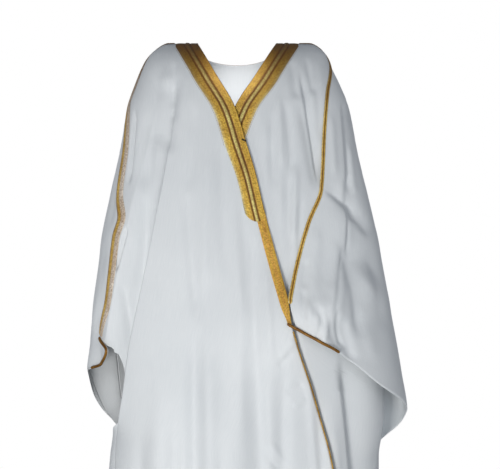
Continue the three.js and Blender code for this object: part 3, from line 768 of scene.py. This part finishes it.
def backPlace():
    # Columns from side to side, and rows from the neck line and the shoulders down to the hem.
    share = np.linspace(1, -1, panelColumns["back"] + 1)[None, :]
    sign, away = np.sign(share + 1e-9), np.abs(share)
    crestX = halfWidth(sign, cut["crest"]) * np.sin(away * quarter) ** cut["squareness"]
    dip = np.clip(1 - (crestX / cut["neckHalf"]) ** 2, 0, 1) ** cut["neckRound"]
    top = cut["crest"] - cut["neckDrop"] * dip
    z = mix(top, cut["hem"], (cut["crest"] - heights[:, None]) / (cut["crest"] - cut["hem"]))
    return backAngle(sign, away, z), z


rightSleeveLayer = sleeveLayer(rightSide, rightSleeveFolds)
leftSleeveLayer = sleeveLayer(leftSide, leftSleeveFolds + leftSleeveCreases)
rightFrontCloth = panel("rightFrontCloth", *rightFrontPlace(), plainLayer, flip=True)
leftFrontCloth = panel("leftFrontCloth", *leftFrontPlace(), leftFrontLayer)
backCloth = panel("backCloth", *backPlace(), plainLayer)
rightSleeveGrid = sleevePlace(rightSide, rightSleeveHem, panelColumns["rightSleeve"])
leftSleeveGrid = sleevePlace(leftSide, leftSleeveHem, panelColumns["leftSleeve"])
rightSleeveCloth = panel("rightSleeveCloth", *rightSleeveGrid, rightSleeveLayer, flip=True)
leftSleeveCloth = panel("leftSleeveCloth", *leftSleeveGrid, leftSleeveLayer)
print("panels made")

# ---- bands: the cloth's own surface, moved out by the braid's profile

# Height of the wide braid over the cloth at each share of its width, in millimetres.
wideProfile = {
    "at": [0, 0.03, 0.08, 0.27, 0.33, 0.37, 0.42, 0.48, 0.54, 0.59, 0.64, 0.84, 0.9, 1.0],
    "rise": [1.0, 1.9, 1.5, 1.6, 0.9, 0.8, 2.2, 2.9, 2.2, 0.9, 1.6, 1.5, 1.2, 0.7],
}
narrowProfile = {
    "at": [0, 0.12, 0.3, 0.5, 0.7, 0.88, 1.0],
    "rise": [0.8, 1.5, 1.7, 1.9, 1.7, 1.5, 0.8],
}
bandStep = 2.0  # millimetres between rows
picot = {"length": 5.0, "depth": 1.6, "inside": 5.0}
rib = {"pitch": 3.2, "slant": 9, "rise": 0.18, "from": 0.04}
# Lower ends of the front bands: the middle and half-width of the round, how far the rows close up
# at its sides, and over what length. Further up the wide one draws in, and the narrow one starts
# under it, thin at first.
wideEnd = {
    "middle": 23.5, "half": 24.5, "lift": 26, "reach": 60, "drawIn": 0.1, "from": 300, "over": 120,
}
narrowEnd = {
    "middle": 8.4, "half": 13.6, "lift": 9, "reach": 40, "start": 18, "z": -618,
    "thin": 0.3, "from": 16, "over": 10,
}


def bandMesh(name, angle, z, layer, s, along, profile, material, flip=False, full=1.0):
    # s is the distance from the front edge and along the distance down the band; full is the share
    # of the profile's height that it has there.
    along = along + 0 * s
    share = s / s.max()
    ribs = np.sin(along * 2 * np.pi / rib["pitch"] + share * rib["slant"]) * (share > rib["from"])
    rise = smoothColumn(profile, "at", "rise")(share) + rib["rise"] * ribs
    rise = np.maximum(rise * full, cut["seamGap"] + 0.2)
    points, normals = surface(angle, z, layer)
    outer = points + normals * rise[..., None]
    inner = points + normals * cut["seamGap"]
    uv = np.stack((s, -along), -1) * mm
    if flip:
        outer, inner, uv = outer[:, ::-1], inner[:, ::-1], uv[:, ::-1]
    return addWall(name, outer, inner, uv, material)


def downTheFront(edgeX, start, end, layer):
    # Heights whose spacing keeps rows evenly apart along an edge.
    z = np.linspace(start, end, 400)
    length = lengthAlong(clothPoint(angleAt(edgeX(z), z), z, layer))
    even = np.linspace(0, length[-1], int(length[-1] / bandStep) + 1)
    return np.interp(even, length, z)[:, None], even[:, None]


def roundedEnd(z, s, along, end):
    # Rows close up towards the lower end, more so near the sides, as the depth of a half circle.
    side = np.sqrt(np.clip(1 - ((s - end["middle"]) / end["half"]) ** 2, 0, 1))
    nearEnd = smooth((along - along.max() + end["reach"]) / end["reach"])
    return z + end["lift"] * (1 - side) * nearEnd


def scallops(s, along):
    # The pointed outer edge: each point is half a sine wave, and its hollow goes in by the depth.
    hollow = picot["depth"] * (np.abs(np.sin(along * np.pi / picot["length"])) - 1)
    return hollow * smooth((s - cut["bandWidth"] + picot["inside"]) / picot["inside"])


def wideFrontBand():
    z, along = downTheFront(frontEdgeX, cut["crest"], cut["bandEnd"], plainLayer)
    s = np.linspace(0, cut["bandWidth"], 48)[None, :] + 0 * z
    spread = bandSpread(frontEdgeX, z)
    z = roundedEnd(z, s, along, wideEnd)
    taper = 1 - wideEnd["drawIn"] * smooth((along - wideEnd["from"]) / wideEnd["over"])
    angle = angleAt(frontEdgeX(z) - (s * taper + scallops(s, along)) * spread, z)
    grid = (angle, z, plainLayer, s, along)
    return bandMesh("rightFrontBand", *grid, wideProfile, wideZari, flip=True)


def wideUnderBand():
    z, along = downTheFront(underEdgeX, cut["crest"], cut["underEnd"], leftFrontLayer)
    s = np.linspace(0, cut["bandWidth"], 48)[None, :] + 0 * z
    s = s + scallops(s, along)
    angle = angleAt(underEdgeX(z) + s * bandSpread(underEdgeX, z, gathered=False), z)
    return bandMesh("leftFrontBand", angle, z, leftFrontLayer, s, along, wideProfile, wideZari)


def belowNeck(t, depth):
    # The line this far below the back's neck edge, for t from 1 at one shoulder to -1 at the other.
    sign = np.sign(t + 1e-9)
    dip = (cut["neckDrop"] + cut["neckSpread"] * depth) * (1 - t**2) ** cut["neckRound"]
    z = cut["crest"] - dip
    crestX = (cut["neckHalf"] + depth) * np.abs(t)
    share = np.clip(crestX / halfWidth(sign, cut["crest"]), 0, 1)
    return backAngle(sign, np.arcsin(share ** (1 / cut["squareness"])) / quarter, z), z


def neckBand():
    # Round the back of the neck: each row follows the neck line, its ends meet the front bands.
    t = np.sin(np.linspace(1, -1, 180)[None, :] * quarter)
    s = np.linspace(0, cut["bandWidth"], 40)[:, None] + 0 * t
    grid = (*belowNeck(t, s), plainLayer, s, (t - t.min()) * 120)
    return bandMesh("neckBand", *grid, wideProfile, wideZari)


def narrowFrontBand():
    # From under the wide band's rounded end to a round end of its own at the hand.
    start = cut["bandEnd"] + narrowEnd["start"]
    z, along = downTheFront(frontEdgeX, start, narrowEnd["z"], plainLayer)
    s = np.linspace(0, cut["narrowWidth"], 24)[None, :] + 0 * z
    spread = bandSpread(frontEdgeX, z)
    z = roundedEnd(z, s, along, narrowEnd)
    grid = (angleAt(frontEdgeX(z) - s * spread, z), z, plainLayer, s, along)
    full = mix(narrowEnd["thin"], 1, smooth((along - narrowEnd["from"]) / narrowEnd["over"]))
    return bandMesh("narrowBand", *grid, narrowProfile, narrowZari, flip=True, full=full)


rightFrontBand = wideFrontBand()
leftFrontBand = wideUnderBand()
neckBandPiece = neckBand()
narrowBandPiece = narrowFrontBand()
print("bands made")

# ---- cords: a twisted section carried along a seam

cords = {
    "edgeRadius": 1.8, "cuffRadius": 3.3, "tackRadius": 1.9, "clear": 0.3, "step": 1.3,
    "sides": 12, "strands": 3, "swell": 0.18,
    "edgeTop": -626.0, "leftCuffEnd": 220,  # where the edge cord starts (z) and that trim ends (x)
}
braid = {"rise": 1.7, "plait": 0.16, "lay": 4.2, "edge": 0.5, "under": 0.25, "endLength": 4.0}


def softened(points, passes):
    # Each point moves to the mean of itself and its neighbours, but for the ends.
    for _ in range(passes):
        inner = (points[:-2] + 2 * points[1:-1] + points[2:]) / 4
        points = np.concatenate((points[:1], inner, points[-1:]))
    return points


def cordMesh(name, points, radius, lay, material, passes=6):
    # A ring of points round the path at each step; its radius swells over each strand, and the
    # strands turn by one full round in each lay. The ends close to a point.
    path, along = evenly(softened(points, passes), cords["step"])
    along = along[:, None]
    tangent = unit(np.gradient(path, axis=0))
    aside = unit(np.cross(tangent, (0.0, -1.0, 0.31)))
    over = np.cross(aside, tangent)
    turn = np.linspace(0, 2 * np.pi, cords["sides"] + 1)[None, :]
    strand = np.abs(np.cos((turn + along / lay * 2 * np.pi) * cords["strands"] / 2))
    ends = np.sqrt(np.clip(np.minimum(along, along[-1] - along) / radius, 0, 1))
    size = radius * (1 - cords["swell"] + cords["swell"] * strand) * np.maximum(ends, 0.02)
    ring = path[:, None] + aside[:, None] * (np.cos(turn) * size)[..., None]
    ring = ring + over[:, None] * (np.sin(turn) * size)[..., None]
    uv = np.stack((turn * radius + 0 * along, along + 0 * turn), -1).reshape(-1, 2) * mm
    return addMesh(name, ring.reshape(-1, 3), gridQuads(*ring.shape[:2]), uv, material)


def lifted(angle, z, layer, height):
    points, normals = surface(angle, z, layer)
    return points + normals * height


def armSeamPath(side, layer, form):
    # From the neck band out along the shoulder, over its tip, then down between front and sleeve.
    sign, crest = side["sign"], cut["crest"]
    neckEnd = cut["neckHalf"] + cut["bandWidth"] + 2
    x = sign * np.linspace(neckEnd, float(halfWidth(sign, crest)) - 1, 12)
    shoulder = np.stack((x, 0 * x, 0 * x + crest), -1)
    shoulderUp = np.stack((0 * x, 0 * x, 1 + 0 * x), -1)
    tip, tipUp = surface(np.full(3, sign * quarter), np.array([4.0, -4.0, -12.0]), plainLayer)
    z = np.arange(cut["sleeveStart"] - 6.0, form["end"], -3.0)
    seam = armSeamAngle(side["seamX"], z)
    shift = 2 * form["shift"] * smooth((cut["sleeveStart"] - z) / 60)
    arm, armUp = surface(sign * (seam + gapTurn(sign * seam, z, shift)), z, layer)
    return np.concatenate((shoulder, tip, arm)), np.concatenate((shoulderUp, tipUp, armUp))


def braidMesh(name, side, layer, form, material):
    # A flat braid on the cloth along an arm seam: two rounded edges with a groove between them,
    # swelling a little with every lay of its threads. It widens from the shoulder down.
    path, normals = (softened(points, 4) for points in armSeamPath(side, layer, form))
    even, along = evenly(path, cords["step"])
    up = unit(readAlong(path, normals, along))
    aside = unit(np.cross(np.gradient(even, axis=0), up))
    along, up = along[:, None], up[:, None]
    share = np.linspace(0, 1, 15)[None, :]
    dome = np.sqrt(np.clip(1 - (2 * share - 1) ** 2, 0, 1))
    groove = 1 - 0.4 * np.exp(-(((share - 0.5) / 0.1) ** 2))
    turns = along / braid["lay"] + np.abs(share - 0.5) * 1.6
    plait = braid["plait"] * np.sin(2 * np.pi * turns)
    toEnd = np.minimum(along, along[-1] - along)
    ends = np.sqrt(np.clip(toEnd / braid["endLength"], 0.02, 1))
    rise = braid["edge"] + (braid["rise"] * groove + plait) * dome * ends
    widening = mix(form["start"], 1.0, smooth((along - 70) / 90))
    offset = (share - 0.5) * form["width"] * ends * widening
    middle = even[:, None] + aside[:, None] * offset[..., None]
    uv = np.stack((share * form["width"] + 0 * along, along + 0 * share), -1) * mm
    return addWall(name, middle + up * rise[..., None], middle + up * braid["under"], uv, material)


def frontEdgePath():
    z = np.arange(cords["edgeTop"], cut["hem"] + 1, -3.0)
    return lifted(angleAt(frontEdgeX(z), z), z, plainLayer, cords["edgeRadius"] + cords["clear"])


def cuffPaths():
    # Along the front lip of each hand opening.
    high = cords["cuffRadius"] + cords["clear"]
    z = np.linspace(-649, -719, 24)
    seam = armSeamAngle(rightArmSeamX, z)
    right = lifted(-(seam + gapTurn(seam, z, 2.0)), z, rightSleeveLayer, high)
    angle, z = leftSleeveGrid
    edge = clothPoint(angle[-1], z[-1], leftSleeveLayer)
    lip = int(np.searchsorted(edge[:, 0], cords["leftCuffEnd"]))
    left = lifted(angle[-1, 1:lip], z[-1, 1:lip], leftSleeveLayer, high)
    # Its first stretch comes down from the end of the narrow band.
    x, z = np.array([107.0, 112.0, 117.0]), np.array([-610.0, -613.5, -616.5])
    start = lifted(angleAt(x, z), z, plainLayer, high)
    return right, np.concatenate((start, left))


def tackPath():
    # Across the front edge, where the bands cross.
    x, z = np.linspace(11, 22, 8), np.linspace(-216.5, -221.5, 8)
    return lifted(angleAt(x, z), z, plainLayer, 2.6)


rightArmCord = braidMesh("rightArmCord", rightSide, plainLayer, rightBraidForm, rightBraid)
leftArmCord = braidMesh("leftArmCord", leftSide, leftSleeveLayer, leftBraidForm, leftBraid)
edgeCordPiece = cordMesh("frontEdgeCord", frontEdgePath(), cords["edgeRadius"], 7.0, goldCord)
frontTack = cordMesh("frontTack", tackPath(), cords["tackRadius"], 5.0, darkThread)
cuffRightPath, cuffLeftPath = cuffPaths()
rightCuffTrim = cordMesh("rightCuffTrim", cuffRightPath, cords["cuffRadius"], 10.0, cuffTrim, 1)
leftCuffTrim = cordMesh("leftCuffTrim", cuffLeftPath, cords["cuffRadius"], 10.0, cuffTrim)
print("cords made")

# ---- the stitches that hold the bands to the cloth, close along their outer edges

stitch = {  # millimetres
    "pitch": 4.6, "length": 3.4, "radius": 0.42, "away": 1.4, "top": -12.0, "end": -230,
}


def stitchRow(name, path, normals):
    # One short rounded thread at each pitch along the path, half sunk in the cloth.
    even, along = evenly(path, stitch["pitch"])
    up = readAlong(path, normals, along)
    tangent = unit(np.gradient(even, axis=0))
    aside = np.cross(tangent, up)
    rows, columns = 6, 7
    shape = (len(even), rows, columns)
    t = np.linspace(-1, 1, rows)[None, :, None]
    turn = np.linspace(0, 2 * np.pi, columns)[None, None, :]
    size = stitch["radius"] * np.sqrt(np.maximum(1 - t**2, 0.01))
    offsets = (t * stitch["length"] / 2, np.cos(turn) * size, np.sin(turn) * size)
    reach, wide, rise = (np.broadcast_to(offset, shape)[..., None] for offset in offsets)
    points = even[:, None, None] + tangent[:, None, None] * reach
    points = points + aside[:, None, None] * wide + up[:, None, None] * rise
    quads = gridQuads(rows, columns)[None] + (np.arange(len(even)) * rows * columns)[:, None, None]
    uv = np.concatenate((wide, reach), -1).reshape(-1, 2) * mm
    return addMesh(name, points.reshape(-1, 3), quads.reshape(-1, 4), uv, goldCord)


def besideBand(edgeX, layer, sign):
    z = np.arange(stitch["top"], stitch["end"], -3.0)
    away = (cut["bandWidth"] + stitch["away"]) * bandSpread(edgeX, z, gathered=sign < 0)
    return surface(angleAt(edgeX(z) + sign * away, z), z, layer)


def belowNeckBand():
    place = belowNeck(np.linspace(0.94, -0.94, 90), cut["bandWidth"] + stitch["away"])
    return surface(*place, plainLayer)


rightStitches = stitchRow("rightStitches", *besideBand(frontEdgeX, plainLayer, -1))
leftStitches = stitchRow("leftStitches", *besideBand(underEdgeX, leftFrontLayer, 1))
neckStitches = stitchRow("neckStitches", *belowNeckBand())
print("stitches made")

# ---- what each piece stands for

standsFor = [
    (rightFrontCloth, "front_right", "cloth"),
    (leftFrontCloth, "front_left", "cloth"),
    (backCloth, "back", "cloth"),
    (rightSleeveCloth, "sleeve_right", "cloth"),
    (leftSleeveCloth, "sleeve_left", "cloth"),
    (rightFrontBand, "band_right", "zari"),
    (leftFrontBand, "band_left", "zari"),
    (neckBandPiece, "band_neck", "zari"),
    (narrowBandPiece, "narrow_band", "zari_narrow"),
    (edgeCordPiece, "edge_cord", "zari_narrow"),
    (rightArmCord, "arm_cord_right", "seam_cord"),
    (leftArmCord, "arm_cord_left", "seam_cord"),
    (rightCuffTrim, "cuff_right", "cuff_trim"),
    (leftCuffTrim, "cuff_left", "cuff_trim"),
]
for piece, node, finish in standsFor:
    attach(piece, "root")
    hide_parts(node)

for piece, finish in (
    (frontTack, "seam_cord"),
    (rightStitches, "zari"), (leftStitches, "zari"), (neckStitches, "zari"),
):
    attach(piece, "root")

# ---- floor, light and air

studio = {
    "floorRadius": 1.7, "floorDrop": 0.02,
    "overhead": (0.13, 0.145, 0.165), "level": (0.39, 0.405, 0.43), "backdrop": (1.0, 1.0, 1.0),
}
# Soft square lights: width, name, place, target, power and colour.
softLights = [
    (0.6, "key", (-0.6, -2.3, -1.1), (0, 0, -0.7), 26, (1.0, 1.0, 0.985)),
    (1.0, "fill", (1.6, -2.6, -0.3), (0, 0, -0.6), 5, (0.95, 0.98, 1.0)),
]
# Narrow beams on the inside of the cloth, where an opening shows it, by their cone in degrees.
beams = [
    (4.6, "neckBeam", (0, -2.2, 0.16), (0, 0.1, -0.07), 250, white),
    (3.6, "sleeveBeam", (-0.5, -2.2, -0.78), (-0.288, 0.05, -0.79), 40, white),
    (3.4, "farSleeveBeam", (0.9, -2.2, -0.9), (0.336, 0.05, -0.85), 22, (0.84, 0.92, 1.0)),
]


def makeFloor():
    turn = np.linspace(0, 2 * np.pi, 97)
    ring = np.stack((np.cos(turn), np.sin(turn), 0 * turn), -1)[:-1] * studio["floorRadius"]
    ring[:, 2] = cut["hem"] * mm - studio["floorDrop"]
    mesh = bpy.data.meshes.new("floor")
    mesh.from_pydata(ring.tolist(), [], [list(range(len(ring)))])
    material, tree, place = newMaterial("paleFloor")
    grain = noise(tree, place, 6.0, 4.0)
    colour = ramp(tree, grain, [(0.3, tone(236, 236, 234)), (0.7, tone(242, 242, 241))])
    shade(tree, {"Base Color": colour, "Roughness": 0.8})
    mesh.materials.append(material)
    floor = addObject("floor", mesh)


def makeLight(kind, name, place, target, power, colour):
    # Turned from straight down to point from its place at the target.
    data = bpy.data.lights.new(name, kind)
    data.energy, data.color = power, colour
    light = addObject(name, data)
    light.location = place
    x, y, z = np.array(target) - np.array(place)
    light.rotation_euler = (math.atan2(math.hypot(x, y), -z), 0, math.atan2(y, x) - quarter)
    return data


def makeAir():
    # Soft light from all round, weaker from above, before a plain white backdrop.
    world = bpy.data.worlds.new("air")
    world.use_nodes = True
    tree = world.node_tree
    place = addNode(tree, "TexCoord").outputs["Generated"]
    height = addNode(tree, "SeparateXYZ", {"Vector": place}).outputs["Z"]
    air = ramp(tree, height, [(0.15, studio["level"]), (0.75, studio["overhead"])])
    seen = addNode(tree, "LightPath").outputs["Is Camera Ray"]
    colour = mixed(tree, "MIX", seen, air, studio["backdrop"])
    setInputs(tree, tree.nodes["Background"], {"Color": colour})
    scene.world = world


makeFloor()
makeAir()
for width, *light in softLights:
    makeLight("AREA", *light).size = width
for cone, *light in beams:
    beam = makeLight("SPOT", *light)
    beam.spot_size, beam.spot_blend, beam.shadow_soft_size = math.radians(cone), 1.0, 0.03
scene.view_settings.view_transform = "Standard"
print("studio made")
